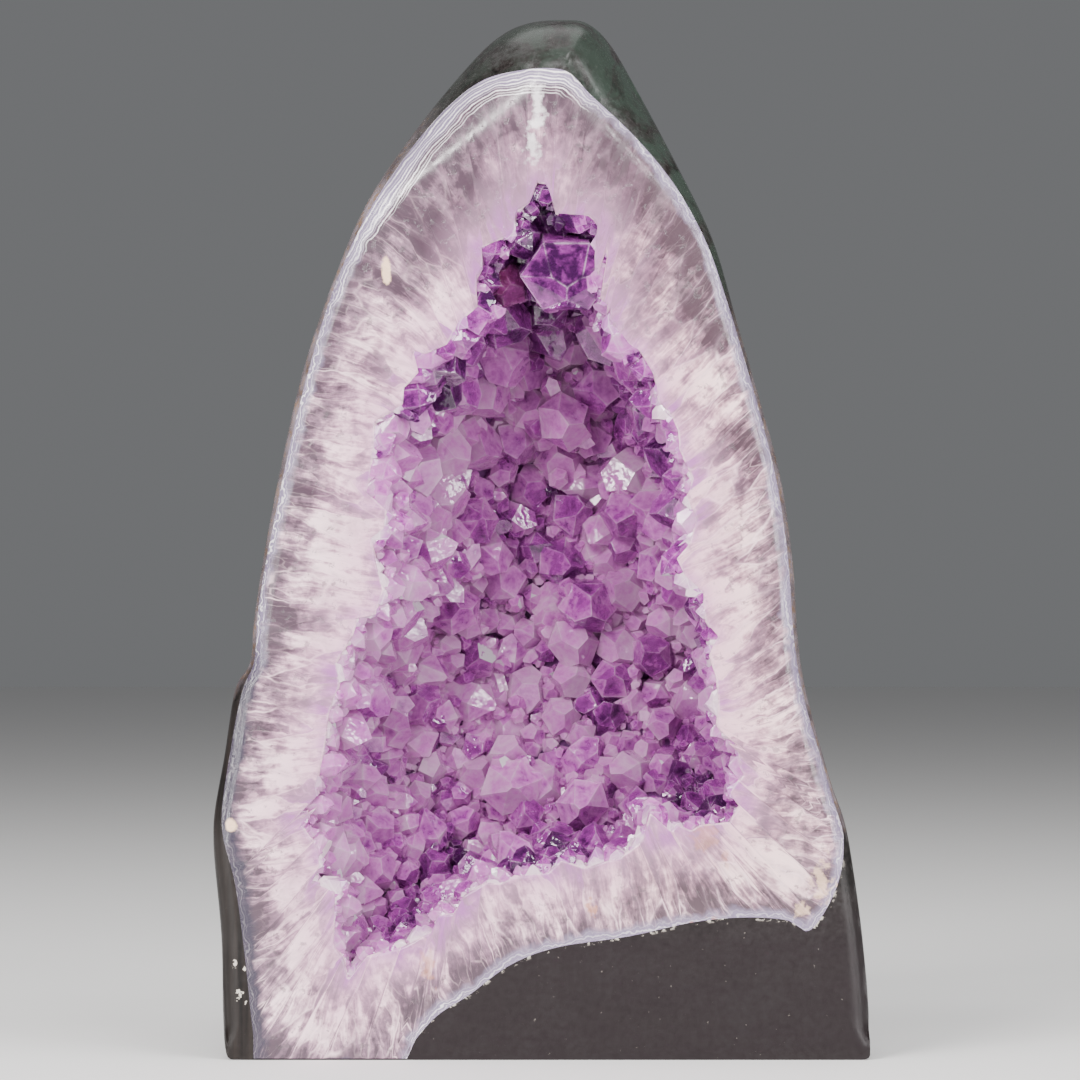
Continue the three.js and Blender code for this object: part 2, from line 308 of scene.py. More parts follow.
# A value in a shader. Sums, differences, products and quotients of wires make their own nodes.
class Wire:
    def __init__(self, tree, socket):
        self.tree = tree
        self.socket = socket

    # One arithmetic node on two values
    def math(self, operation, first, second=0.0):
        return addNode(self.tree, "ShaderNodeMath", {0: first, 1: second}, operation=operation)

    def __add__(self, other):
        return self.math("ADD", self, other)

    def __sub__(self, other):
        return self.math("SUBTRACT", self, other)

    def __rsub__(self, other):
        return self.math("SUBTRACT", other, self)

    def __mul__(self, other):
        return self.math("MULTIPLY", self, other)

    def __truediv__(self, other):
        return self.math("DIVIDE", self, other)

    # The larger of two values
    def larger(self, other):
        return self.math("MAXIMUM", self, other)

    # The sine of the value, in radians
    def sine(self):
        return self.math("SINE", self)

    # The value carried from one range to another, held at its ends
    def ranged(self, fromLow, fromHigh, toLow=0.0, toHigh=1.0):
        return addNode(self.tree, "ShaderNodeMapRange",
                       {0: self, 1: fromLow, 2: fromHigh, 3: toLow, 4: toHigh})

    # The three parts of a place, kind XYZ, or of a colour, kind Color
    def parts(self, kind="XYZ"):
        sockets = addNode(self.tree, "ShaderNodeSeparate" + kind, {0: self}).socket.node.outputs
        return [Wire(self.tree, socket) for socket in sockets]


# Wires and plain values into a node's inputs
def setInputs(node, inputs):
    for key, value in inputs.items():
        if isinstance(value, Wire):
            value.tree.links.new(value.socket, node.inputs[key])
        else:
            node.inputs[key].default_value = value


# A wire out of a new node
def addNode(tree, kind, inputs=None, output=0, **settings):
    node = tree.nodes.new(kind)
    for key, value in settings.items():
        setattr(node, key, value)
    setInputs(node, inputs or {})
    return Wire(tree, node.outputs[output])


# A blend of two colours by a factor. A colour is a wire or three numbers, and the node's
# sockets 6, 7 and 2 are its colour inputs and its colour output.
def mixColour(factor, first, second, blend="MIX"):
    first, second = (c if isinstance(c, Wire) else (*c, 1) for c in (first, second))
    return addNode(factor.tree, "ShaderNodeMix", {0: factor, 6: first, 7: second}, 2,
                   data_type="RGBA", blend_type=blend)


# Colours by value, blended between the stops
def rampNode(value, stops):
    colour = addNode(value.tree, "ShaderNodeValToRGB", {0: value})
    elements = colour.socket.node.color_ramp.elements
    while len(elements) < len(stops):
        elements.new(0.5)
    for element, (position, shade) in zip(elements, stops):
        element.position = position
        element.color = (*shade, 1)
    return colour


# Smooth noise at a place: a larger scale is finer, more detail adds finer octaves to it
def noiseNode(vector, scale, detail=4.0, roughness=0.55, distortion=0.0, output="Fac"):
    return addNode(vector.tree, "ShaderNodeTexNoise", {
        "Vector": vector, "Scale": scale, "Detail": detail, "Roughness": roughness,
        "Distortion": distortion}, output)


# Two places subtracted, scaled or measured, as the operation says
def vectorNode(operation, first, second, output="Vector"):
    return addNode(first.tree, "ShaderNodeVectorMath", {0: first, 1: second}, output,
                   operation=operation)


# The surface's direction, tilted by the slope of a height
def bumpNode(height, strength, distance):
    return addNode(height.tree, "ShaderNodeBump", {
        "Height": height, "Strength": strength, "Distance": distance})


# A value stored on the mesh's points
def attributeNode(tree, name, output="Fac"):
    return addNode(tree, "ShaderNodeAttribute", None, output, attribute_name=name)


# A place from its three parts
def combineNode(x, y, z):
    return addNode(x.tree, "ShaderNodeCombineXYZ", {0: x, 1: y, 2: z})


# A material, its tree, its Principled shader and the place in the object's own coordinates
def newMaterial(name):
    material = bpy.data.materials.new(name)
    material.use_nodes = True
    tree = material.node_tree
    place = addNode(tree, "ShaderNodeTexCoord", None, "Object")
    return material, tree, tree.nodes["Principled BSDF"], place


# A shared effect's group, with vector and number inputs and one output, the mask
def newGroup(name, vectors, numbers):
    group = bpy.data.node_groups.new(name, "ShaderNodeTree")
    face = group.interface
    for key in vectors:
        face.new_socket(key, in_out="INPUT", socket_type="NodeSocketVector")
    for key, value in numbers.items():
        face.new_socket(key, in_out="INPUT", socket_type="NodeSocketFloat").default_value = value
    face.new_socket("Mask", in_out="OUTPUT", socket_type="NodeSocketFloat")
    inside = group.nodes.new("NodeGroupInput").outputs
    wires = {key: Wire(group, inside[key]) for key in (*vectors, *numbers)}
    return group, wires, group.nodes.new("NodeGroupOutput")


# A shared effect: a soft round patch with a ragged edge, 1 at its centre and 0 outside. The
# distance over the radius, plus a grain, falls through the softness up to the edge.
def patchGroup():
    outerEdge = 1.1
    grainSpread = 4.0
    group, inside, out = newGroup("mineralPatch", ["Place", "Centre"], {
        "Radius": 0.005, "Raggedness": 0.5, "Grain": 0.5, "Height": 1.0, "Softness": 0.35})
    x, y, z = vectorNode("SUBTRACT", inside["Place"], inside["Centre"]).parts()
    flattened = combineNode(x, y, z / inside["Height"])
    away = vectorNode("LENGTH", flattened, (0, 0, 0), "Value")
    grain = (inside["Grain"] - 0.5) * inside["Raggedness"] * grainSpread
    edge = away / inside["Radius"] + grain
    mask = edge.ranged(outerEdge - inside["Softness"], outerEdge, 1.0, 0.0)
    setInputs(out, {"Mask": mask})
    return group


# A shared effect: specks of a mineral, where a fine noise rises above a threshold
def speckGroup():
    group, inside, out = newGroup("mineralSpecks", ["Place"], {
        "Scale": 200.0, "Threshold": 0.6, "Softness": 0.05})
    fine = noiseNode(inside["Place"], inside["Scale"], 5, 0.6)
    high = inside["Threshold"] + inside["Softness"]
    setInputs(out, {"Mask": fine.ranged(inside["Threshold"], high)})
    return group


patchTree = patchGroup()
speckTree = speckGroup()


# The patch effect round a centre, (x, z) on the polished front in millimetres
def patchMask(place, grain, centre, radius, raggedness, height=1.0, softness=0.35):
    return addNode(place.tree, "ShaderNodeGroup", {
        "Place": place, "Grain": grain, "Centre": (centre[0] * mm, frontY, centre[1] * mm),
        "Radius": radius * mm, "Raggedness": raggedness, "Height": height,
        "Softness": softness}, node_tree=patchTree)


# The speck effect at a place: 0 below the threshold, 1 above it and its softness
def speckMask(place, scale, threshold, softness):
    return addNode(place.tree, "ShaderNodeGroup", {
        "Place": place, "Scale": scale, "Threshold": threshold, "Softness": softness},
        node_tree=speckTree)


# Camera, lights and floor
studio = {
    "frameWidth": 0.432,  # what the picture spans at the front of the geode
    "cameraDistance": 2.4,
    "cameraHeight": 0.208,
    "cameraX": -0.0006,
    "sensor": 36.0,
    "floorColour": (0.8, 0.79, 0.78, 1),
    "floorRoughness": 0.6,
    "floorReach": 6.0,
    "worldColour": (0.9, 0.92, 0.95, 1),
    "worldStrength": 0.18,
    "lights": [
        # name, place, size, watts, colour
        ("keyLight", (-1.0, -1.8, 1.3), 0.7, 50, (1, 0.955, 0.94)),
        ("fillLight", (1.3, -1.6, 0.6), 0.9, 18, (1, 0.95, 0.97)),
        ("topLight", (0.0, 0.6, 1.8), 1.4, 10, (1, 1, 1)),
    ],
    # small lamps: how far off the line of sight, and how far round it to each side, in degrees
    "sparks": {"count": 30, "distance": 2.0, "size": 0.25, "watts": 4.2, "off": (28, 84),
               "reach": 110},
}


# The camera looks level along +Y from mid height; its lens gives the picture's width
def makeCamera():
    camera = bpy.data.cameras.new("camera")
    camera.sensor_width = studio["sensor"]
    camera.lens = studio["sensor"] * studio["cameraDistance"] / studio["frameWidth"]
    holder = bpy.data.objects.new("camera", camera)
    holder.location = (studio["cameraX"], frontY - studio["cameraDistance"], studio["cameraHeight"])
    holder.rotation_euler = (math.radians(90), 0, 0)
    bpy.context.scene.collection.objects.link(holder)
    bpy.context.scene.camera = holder


# Small bright lamps that make crystal faces flash: on a dome in front, far off the line of
# sight, with even steps from left through above to right and the golden ratio's in and out
def sparkLamps():
    sparks = studio["sparks"]
    index = np.arange(sparks["count"])
    roll = np.radians(-sparks["reach"] + 2 * sparks["reach"] * (index + 0.5) / len(index))
    low, high = sparks["off"]
    off = np.radians(low + (high - low) * (index * 0.618 % 1))
    x = sparks["distance"] * np.sin(off) * np.sin(roll)
    y = frontY - sparks["distance"] * np.cos(off)
    z = np.maximum(0.2 + sparks["distance"] * np.sin(off) * np.cos(roll), 0.1)
    return [(f"sparkLight{k + 1}", tuple(p), sparks["size"], sparks["watts"], (1, 1, 1))
            for k, p in enumerate(np.column_stack([x, y, z]).tolist())]


# Square lamps, each turned so that its -Z looks at the middle of the geode
def makeLights():
    for name, place, size, watts, colour in studio["lights"] + sparkLamps():
        lamp = bpy.data.lights.new(name, "AREA")
        lamp.size = size
        lamp.energy = watts
        lamp.color = colour
        holder = bpy.data.objects.new(name, lamp)
        holder.location = place
        aim = np.array([0, 0, 0.2]) - np.array(place)
        flat = math.hypot(aim[0], aim[1])
        holder.rotation_euler = (math.atan2(flat, -aim[2]), 0, math.atan2(-aim[0], aim[1]))
        bpy.context.scene.collection.objects.link(holder)
    world = bpy.data.worlds.new("softSky")
    world.use_nodes = True
    setInputs(world.node_tree.nodes["Background"],
              {"Color": studio["worldColour"], "Strength": studio["worldStrength"]})
    bpy.context.scene.world = world


# One wide level square
def makeFloor():
    reach = studio["floorReach"]
    corners = [(-reach, -reach, 0), (reach, -reach, 0), (reach, reach, 0), (-reach, reach, 0)]
    mesh = bpy.data.meshes.new("floor")
    mesh.from_pydata(corners, [], [(0, 1, 2, 3)])
    floor = bpy.data.objects.new("floor", mesh)
    bpy.context.scene.collection.objects.link(floor)
    material, tree, shader, place = newMaterial("floorPaint")
    setInputs(shader, {"Base Color": studio["floorColour"], "Roughness": studio["floorRoughness"]})
    mesh.materials.append(material)


makeCamera()
makeLights()
makeFloor()
print("stage made")

basaltLook = {
    "dark": (0.004, 0.0034, 0.003),
    "mid": (0.0145, 0.0115, 0.011),
    "grey": (0.032, 0.0305, 0.03),
    "green": (0.023, 0.033, 0.026),
    "footTint": (0.0118, 0.0075, 0.009),
    "agateSkin": (0.2, 0.16, 0.18),
    "agateStain": (0.2, 0.12, 0.075),
    "chip": (0.5, 0.46, 0.4),
    "bareBack": (0.07, 0.06, 0.052),
    "roughness": (0.22, 0.7),
    "specular": 0.25,
    # pale marks: centre, radius, raggedness
    "marks": [((-122.6, 39), 0.8, 1.5), ((-118.8, 37), 0.5, 1.2), ((-120.6, 26.5), 0.9, 1.5),
              ((-118.4, 23), 0.5, 1.2)],
    "markHeight": 1.8,
    "skinWander": 0.16,  # how much the ends of the agate skins wander, in metres
    "lowRoughness": 0.14,
    "stripDark": (0.0045, 0.0034, 0.003),
    "stripPale": (0.02, 0.0148, 0.0125),
    # lumps of the back: spacing and height in millimetres, seed, octaves, the noise's middle
    # and its spread
    "lumps": [(34, 2.0, 11, 2, 1.4, 2.4), (9, 1.2, 23, 3, 1.7, 3.4)],
}


# Basalt: dark groundmass with grey mottling, green mineral patches over the crown, a plain
# satin foot, pale agate skins at both sides, and pale chips along its contact with the quartz
def basaltMaterial():
    look = basaltLook
    material, tree, shader, place = newMaterial("polishedBasalt")
    x, y, z = place.parts()
    front, polish, toContact = (attributeNode(tree, name) for name in ("front", "polish", "toContact"))
    fine = noiseNode(place, 420.0, 6, 0.65)
    broad = noiseNode(place, 55.0, 6, 0.65, 0.5)
    high = z.ranged(0.25, 0.36)
    mottle = fine * 0.45 + broad * 0.55 + high * 0.025
    rock = rampNode(mottle, [(0.4, look["dark"]), (0.5, look["mid"]), (0.64, look["grey"])])
    green = noiseNode(place, 48.0, 8, 0.68, 0.9).ranged(0.41, 0.56)
    body = mixColour(green * x.ranged(-0.03, 0.03, 0.35, 0.95) * high, rock, look["green"])
    streaks = noiseNode(combineNode(x * 14.0, y, z * 160.0), 1.0, 4)
    foot = mixColour(streaks.ranged(0.3, 0.7, 0.0, 0.35), look["footTint"], look["mid"])
    footShare = z.ranged(0.075, 0.045) * x.ranged(-0.1, -0.08) * front * 0.85
    body = mixColour(footShare, body, foot)
    upright = noiseNode(combineNode(x * 330.0, y, z * 16.0), 1.0, 5, 0.6)
    strip = mixColour(upright.ranged(0.36, 0.66), look["stripDark"], look["stripPale"])
    body = mixColour(x.ranged(-0.1, -0.112, 0.0, 0.85) * z.ranged(0.15, 0.13), body, strip)
    chips = speckMask(place, 300.0, 0.57, 0.04) * toContact.ranged(0.0005, 0.0016, 0.8, 0.0)
    chips = chips * front * z.ranged(0.06, 0.09, 1.0, 0.0) * x.ranged(-0.1, -0.09)
    body = mixColour(chips, body, look["chip"])
    body = mixColour(speckMask(place, 520.0, 0.7, 0.02) * 0.18, body, look["chip"])
    markGrain = noiseNode(place, 620.0, 3)
    for centre, radius, raggedness in look["marks"]:
        mark = patchMask(place, markGrain, centre, radius, raggedness, look["markHeight"])
        body = mixColour(mark, body, look["chip"])
    height = z + (noiseNode(place, 26.0, 5, 0.6) - 0.5) * look["skinWander"]
    leftSkin = x.ranged(-0.04, -0.07) * height.ranged(0.125, 0.15)
    rightSkin = height.ranged(0.085, 0.13) * height.ranged(0.31, 0.25) * x.ranged(0.06, 0.075)
    skinShare = leftSkin.larger(rightSkin) * broad.ranged(0.4, 0.62, 0.35, 0.9) * polish
    skinColour = mixColour(fine.ranged(0.5, 0.62), look["agateSkin"], look["agateStain"])
    body = mixColour(skinShare, body, skinColour)
    bare = polish.ranged(0.0, 1.0, 1.0, 0.0)
    body = mixColour(bare * 0.55, body, look["bareBack"])
    roughness = (bare.ranged(0.0, 1.0, *look["roughness"]) + fine.ranged(0.3, 0.7, -0.05, 0.12)
                 + z.ranged(0.2, 0.1, 0.0, look["lowRoughness"]))
    setInputs(shader, {
        "Base Color": body, "Roughness": roughness, "Specular IOR Level": look["specular"],
        "Normal": bumpNode(fine * bare + broad * 0.15, 0.5, 0.0012)})
    return material


# Basalt, one closed skin: up the wall of the quartz from behind, over the front and its
# ground edge, and round the rough back to the foot
def makeBasalt():
    quartzDepth = backY - frontY - geode["backBehindQuartz"] * mm
    innerAngles = (86, 79, 68, 53, 36, 18, 0)
    inner = [backRing(contact, angle, quartzDepth) for angle in innerAngles]
    for ring in inner:
        ring[:, 2] = np.maximum(ring[:, 2], 0.3 * mm)
    front = [frontRing(contact, skin, share) for share in (0, .03, .08, .16, .28, .4, .52, .63,
                                                           .73, .81, .87, .92, .955, .98, 1)]
    front[0][:, 2] = np.maximum(front[0][:, 2], 0.3 * mm)
    backAngles = np.linspace(0, 89, 76)[1:]
    back = [backRing(skin, angle, backY - frontY) for angle in backAngles]
    rings = np.array(inner + front + back)
    frontCount = len(inner) + len(front)
    normal = gridNormals(rings)
    fade = smoothStep(np.arange(len(rings)) - frontCount, 0, 26)[:, None]
    fade = fade * smoothStep(rings[..., 2], 1 * mm, 16 * mm)
    rough = sum(height * (fractalNoise(rings, spacing * mm, seed, octaves) - centre) / spread
                for spacing, height, seed, octaves, centre, spread in basaltLook["lumps"])
    outward = np.sign(np.einsum("ijk,ijk->ij", normal, rings - np.array([0, 0, 0.12])))
    rings = rings + normal * (outward * fade * rough * mm)[..., None]
    rings[..., 2] = np.maximum(rings[..., 2], 0)
    onFront = np.zeros(rings.shape[:2])
    onFront[len(inner):frontCount] = 1
    polish = np.ones(rings.shape[:2])
    polish[frontCount:] = 1 - smoothStep(np.arange(len(back)), 3, 20)[:, None]
    toContact = np.full(rings.shape[:2], 0.1)
    onFace = slice(len(inner), frontCount)
    toContact[onFace] = nearestOn(contact, rings[onFace][..., [0, 2]])[1]
    piece = ringMesh("basaltRock", rings,
                     {"front": onFront, "polish": polish, "toContact": toContact})
    piece.data.materials.append(basaltMaterial())
    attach(piece, "root")
    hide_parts("basalt_matrix")


makeBasalt()
print("basalt made")

quartzLook = {
    "white": (0.86, 0.62, 0.67),
    "milk": (0.5, 0.315, 0.38),
    "mauve": (0.22, 0.13, 0.178),
    "grey": (0.07, 0.044, 0.06),
    "warmth": (1.0, 0.97, 0.91),
    "pink": (0.66, 0.38, 0.55),
    "purple": (0.3, 0.07, 0.32),
    "band": (0.2, 0.16, 0.25),
    "bandDark": (0.034, 0.028, 0.046),
    "bandLine": (0.8, 0.76, 0.78),
    "pit": (0.07, 0.055, 0.062),
    "cream": (0.8, 0.55, 0.38),
    "rust": (0.5, 0.2, 0.08),
    "roughness": (0.14, 0.36),
    "ior": 1.54,
    # width and length of the grains
    "column": (0.0105, 0.042),
    "splinter": (0.0042, 0.02),
    "blade": (0.0038, 0.02),
    "fibre": (0.0015, 0.014),
    "wobble": (0.0055, 0.0055, 0.0055),
    "lineSpacing": 0.0012,
    "mouthRounding": (1.6, 1.1),  # the mouth edge's radius and how much it varies
    "rightTilt": 0.45,
    # broad paler and darker places: x, z, radius, height by width, how much paler
    "clearings": [
        (-44.6, 296, 12, 1.0, 0.26), (-80, 192, 13, 1.3, 0.22), (-100, 134, 11, 1.0, 0.14),
        (100, 80, 18, 0.9, 0.2), (82, 172, 14, 2.2, 0.12), (0, 366, 7, 3.0, 0.2),
        (-98, 62, 13, 1.6, 0.14), (-90, 14, 13, 1.0, 0.18), (-50, 324, 14, 1.3, -0.17),
        (-97, 250, 8, 2.5, -0.16), (40, 350, 13, 1.0, -0.1), (-107, 190, 6, 3.0, -0.15),
        (40, 318, 10, 1.5, 0.08), (58, 70, 14, 0.6, 0.12), (-20, 360, 9, 1.3, 0.1),
    ],
    # stains and inclusions: centre, radius, height by width, raggedness, softness, colour,
    # strength
    "spots": [
        ((-62, 315.5), 1.9, 3.2, 0.3, 0.35, "cream", 0.95),
        ((-124, 94), 2.6, 1.0, 0.2, 0.4, "cream", 1.0),
        ((-1.5, 380), 2.6, 4.0, 1.0, 0.9, "bandLine", 0.75),
        ((-3.5, 366), 2.8, 2.6, 1.2, 0.9, "bandLine", 0.6),
        ((19.5, 60), 2.2, 1.6, 1.0, 0.5, "rust", 0.5),
        ((66, 88), 5.0, 1.0, 1.3, 0.7, "rust", 0.3),
        ((60, 50), 1.3, 3.0, 0.8, 0.5, "rust", 0.45),
        ((-45, 38), 2.6, 2.2, 1.2, 0.7, "rust", 0.4),
        ((69, 54), 3.0, 1.0, 1.0, 0.6, "rust", 0.35),
        ((74, 80), 1.8, 2.2, 1.0, 0.6, "rust", 0.3),
        ((112, 72), 4.0, 2.0, 1.2, 0.7, "cream", 0.6),
        ((104, 60), 3.5, 0.8, 1.2, 0.7, "cream", 0.55),
    ],
}


# Quartz: long grains across the wall, each with its own milkiness, and fine fibres in them;
# grey and cloudy near the contact, white in the middle, pink and purple at the hollow, with
# wavy agate lines along the contact
def quartzMaterial():
    look = quartzLook
    material, tree, shader, place = newMaterial("fibrousQuartz")
    x, y, z = place.parts()
    toContact, toMouth = attributeNode(tree, "toContact"), attributeNode(tree, "toMouth")
    wobble = vectorNode("MULTIPLY", noiseNode(place, 55.0, 3.0, 0.5, output="Color"), look["wobble"])
    warped = vectorNode("ADD", attributeNode(tree, "fibrePlace", "Vector"), wobble)

    # The warped place, finer round the wall than across it
    def stretched(width, length):
        return vectorNode("MULTIPLY", warped, (1 / width, 1 / width, 1 / length))

    # Long grains: a random tone for each, and how far off its border is
    def grains(size, channel):
        cell = {"Vector": stretched(*size), "Scale": 1.0}
        tone = addNode(tree, "ShaderNodeTexVoronoi", cell, "Color").parts("Color")[channel]
        return tone, addNode(tree, "ShaderNodeTexVoronoi", cell, "Distance",
                             feature="DISTANCE_TO_EDGE")

    grainTone, border = grains(look["column"], 0)
    splinterTone, splinterBorder = grains(look["splinter"], 1)
    fibres = noiseNode(stretched(*look["fibre"]), 1.0, 4, 0.6, 0.2)
    blades = noiseNode(stretched(*look["blade"]), 1.0, 3, 0.5, 0.3)
    clouds = noiseNode(place, 60.0, 4, 0.6)
    blotches = noiseNode(place, 190.0, 6, 0.66)
    leftSide, highUp = x.ranged(0.03, -0.03), z.ranged(0.27, 0.34)
    tone = (grainTone - 0.5) * 0.42 + (fibres - 0.5) * 0.85 + (blades - 0.5) * 0.75
    tone = tone + (clouds - 0.5) * 1.6 + (splinterTone - 0.5) * 0.25
    tone = tone * highUp.ranged(0.0, 1.0, 1.0, 0.45) + (blotches - 0.5) * 0.95
    tone = tone + attributeNode(tree, "paleness") + 0.528
    nearContact = toContact.ranged(0.003, 0.017, 1.0, 0.0)
    tone = tone - nearContact * leftSide.larger(highUp).ranged(0.0, 1.0, 0.33, 0.37)
    tone = tone - highUp * 0.31
    body = rampNode(tone, [(0.12, look["grey"]), (0.38, look["mauve"]), (0.58, look["milk"]),
                           (0.78, look["white"])])
    body = mixColour(x.ranged(0.0, 0.05), body, look["warmth"], "MULTIPLY")
    beside = border.ranged(0.02, 0.14, 0.45, 0.0) * blotches.ranged(0.4, 0.6, 0.2, 1.0)
    body = mixColour(beside, body, look["mauve"])
    seam = border.ranged(0.0, 0.03, 0.9, 0.0).larger(splinterBorder.ranged(0.0, 0.035, 0.4, 0.0))
    seam = seam * clouds.ranged(0.42, 0.6, 0.1, 0.9) * highUp.ranged(0.0, 1.0, 1.0, 0.15)
    body = mixColour(seam, body, look["white"])
    pits = speckMask(place, 270.0, 0.6, 0.05) * 0.5
    body = mixColour(pits, body, look["pit"])
    nearMouth = toMouth + grainTone.ranged(0.0, 1.0, -0.004, 0.006)
    body = mixColour(nearMouth.ranged(0.003, 0.028, 0.6, 0.0), body, look["pink"], "MULTIPLY")
    body = mixColour(nearMouth.ranged(0.002, 0.02, 0.35, 0.0), body, look["pink"])
    purple = nearMouth.ranged(0.0, 0.0075, 0.75, 0.0) * blades.ranged(0.4, 0.6, 0.2, 1.0)
    body = mixColour(purple, body, look["purple"])
    rimLine = toMouth.ranged(0.0002, 0.001, 0.75, 0.0) * blotches.ranged(0.42, 0.55, 0.1, 1.0)
    body = mixColour(rimLine, body, look["white"])
    leftTop = x.ranged(0.03, 0.005) * z.ranged(0.3, 0.35)
    lowLeft = x.ranged(-0.06, -0.09) * z.ranged(0.175, 0.15)
    wave = noiseNode(place, 45.0, 2) * 0.006
    ripple = noiseNode(place, 200.0, 2) * leftTop.ranged(0.0, 1.0, 0.006, 0.0012)
    bandDepth = toContact + wave + ripple - 0.0045
    bandShare = (bandDepth - lowLeft * 0.0018).ranged(0.0032, 0.0062, 0.95, 0.0)
    body = mixColour(bandShare, body, mixColour(lowLeft, look["band"], look["bandDark"]))
    turns = bandDepth * (2 * math.pi / look["lineSpacing"])
    lines = (turns.sine() + (turns * 0.61 + 0.5).sine() * 0.6).ranged(0.1, 1.0)
    lines = lines * clouds.ranged(0.35, 0.55, 0.5, 1.0)
    lineReach = leftTop.ranged(0.0, 1.0, 0.0042, 0.0095)
    lineFade = (bandDepth - lineReach).ranged(-0.001, 0.0, 1.0, 0.0)
    sided = x.ranged(0.0, -0.05, 0.4, 0.8).larger(leftTop) * lowLeft.ranged(0.0, 1.0, 1.0, 0.14)
    body = mixColour(lines * lineFade * sided, body, look["bandLine"])
    spotGrain = noiseNode(place, 300.0, 3)
    for centre, radius, height, raggedness, softness, colour, strength in look["spots"]:
        mask = patchMask(place, spotGrain, centre, radius, raggedness, height, softness)
        body = mixColour(mask * strength, body, look[colour])
    setInputs(shader, {
        "Base Color": body, "Roughness": blades.ranged(0.35, 0.65, *look["roughness"]),
        "Normal": bumpNode(fibres * 0.25 - pits, 0.3, 0.0005), "IOR": look["ior"]})
    return material


# Quartz, one closed wall: out of the hollow, across the polished front, and back round the
# contact with the basalt
def makeQuartz():
    quartzDepth = backY - frontY - (geode["backBehindQuartz"] + 0.4) * mm
    inside = [hollowRing(angle, 0) for angle in (85, 78, 68, 56, 44, 32, 20, 10, 4)]
    width = np.linalg.norm(contact - mouth, axis=1)
    edge, change = quartzLook["mouthRounding"]
    rounding = (edge + change * latticeNoise(np.pad(mouth, ((0, 0), (0, 1))), 9 * mm, 41)) * mm
    near = rounding / width
    faceShares = np.vstack([near * np.array([0, .08, .25, .5, .75, 1])[:, None],
                            near + (1 - near) * np.linspace(0, 1, 24)[1:, None]])
    face = np.array([frontRing(mouth, contact, share[:, None]) for share in faceShares])
    face[..., 1] += rounding * (1 - np.sqrt(1 - np.clip(1 - faceShares / near, 0, 1) ** 2))
    outside = [backRing(contact * 0.998, angle, quartzDepth) for angle in (0, 18, 36, 53, 68, 79, 86)]
    rings = np.concatenate([inside, face, outside])
    rings[..., 2] = np.maximum(rings[..., 2], 0.6 * mm)
    flat = rings[..., [0, 2]]
    toContact = nearestOn(contact, flat)[1]
    toMouth = nearestOn(mouth, flat)[1]
    toMouth[:len(inside)] = 0
    share = np.zeros(rings.shape[:2])
    share[len(inside):len(inside) + len(face)] = faceShares
    share[len(inside) + len(face):] = 1
    steps = np.linalg.norm(np.roll(contact, -1, axis=0) - contact, axis=1)
    length = np.cumsum(steps) - steps
    around = steps.sum()
    drift = length[nearestOn(contact, smoothMouth)[0]] - length
    drift = (drift + around / 2) % around - around / 2
    rightSide = smoothStep(contact[:, 0], 20 * mm, 70 * mm) * smoothStep(contact[:, 1], 90 * mm, 130 * mm)
    drift -= quartzLook["rightTilt"] * width * rightSide
    for _ in range(14):
        drift = (np.roll(drift, 9) + drift + np.roll(drift, -9)) / 3
    turn = length + drift * (1 - share)
    radius = around / (2 * math.pi)
    wall = share * width - (rings[..., 1] - frontY)
    paleness = np.zeros(rings.shape[:2])
    for x, z, reach, height, paler in quartzLook["clearings"]:
        away = np.hypot((flat[..., 0] - x * mm) / reach, (flat[..., 1] - z * mm) / (reach * height)) / mm
        paleness += paler * np.exp(-away**2)
    fibrePlace = np.stack([radius * np.cos(turn / radius), radius * np.sin(turn / radius), wall], axis=-1)
    piece = ringMesh("quartzRim", rings, {
        "toContact": toContact, "toMouth": toMouth, "paleness": paleness,
        "fibrePlace": fibrePlace})
    piece.data.materials.append(quartzMaterial())
    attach(piece, "root")
    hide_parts("quartz_wall")


makeQuartz()
print("quartz made")

crystalLook = {
    "ior": 1.544,
    "transmission": 0.62,
    "roughness": 0.07,
    "absorbColour": (0.7, 0.34, 0.74, 1),
    "absorbDensity": 34.0,
    "deep": (0.07, 0.008, 0.085),
    "purple": (0.45, 0.07, 0.44),
    "lilac": (0.81, 0.265, 0.74),
    "pale": (0.92, 0.52, 0.84),
    "red": (0.14, 0.02, 0.05),
    # pale painted highlight along the edges of the faces
    "paintedEdgeHighlight": (0.92, 0.76, 0.88),
    # painted white glint for a few faces near the tip
    "paintedGlint": (0.97, 0.93, 0.97),
    # the lining's amethyst purple painted dark, as shade in the gaps between the points
    "liningPaintedShade": (0.02, 0.003, 0.024),
    "lining": (0.1, 0.02, 0.11),
    "liningPale": (0.5, 0.3, 0.46),
    "rimRoot": (0.72, 0.52, 0.63),
    "rimTip": (0.46, 0.16, 0.46),
    "rimRoughness": 0.12,
    "rimTransmission": 0.25,
    "liningRoughness": 0.6,
    "liningSpecular": 0.15,
    "paleDepth": 0.009,
}
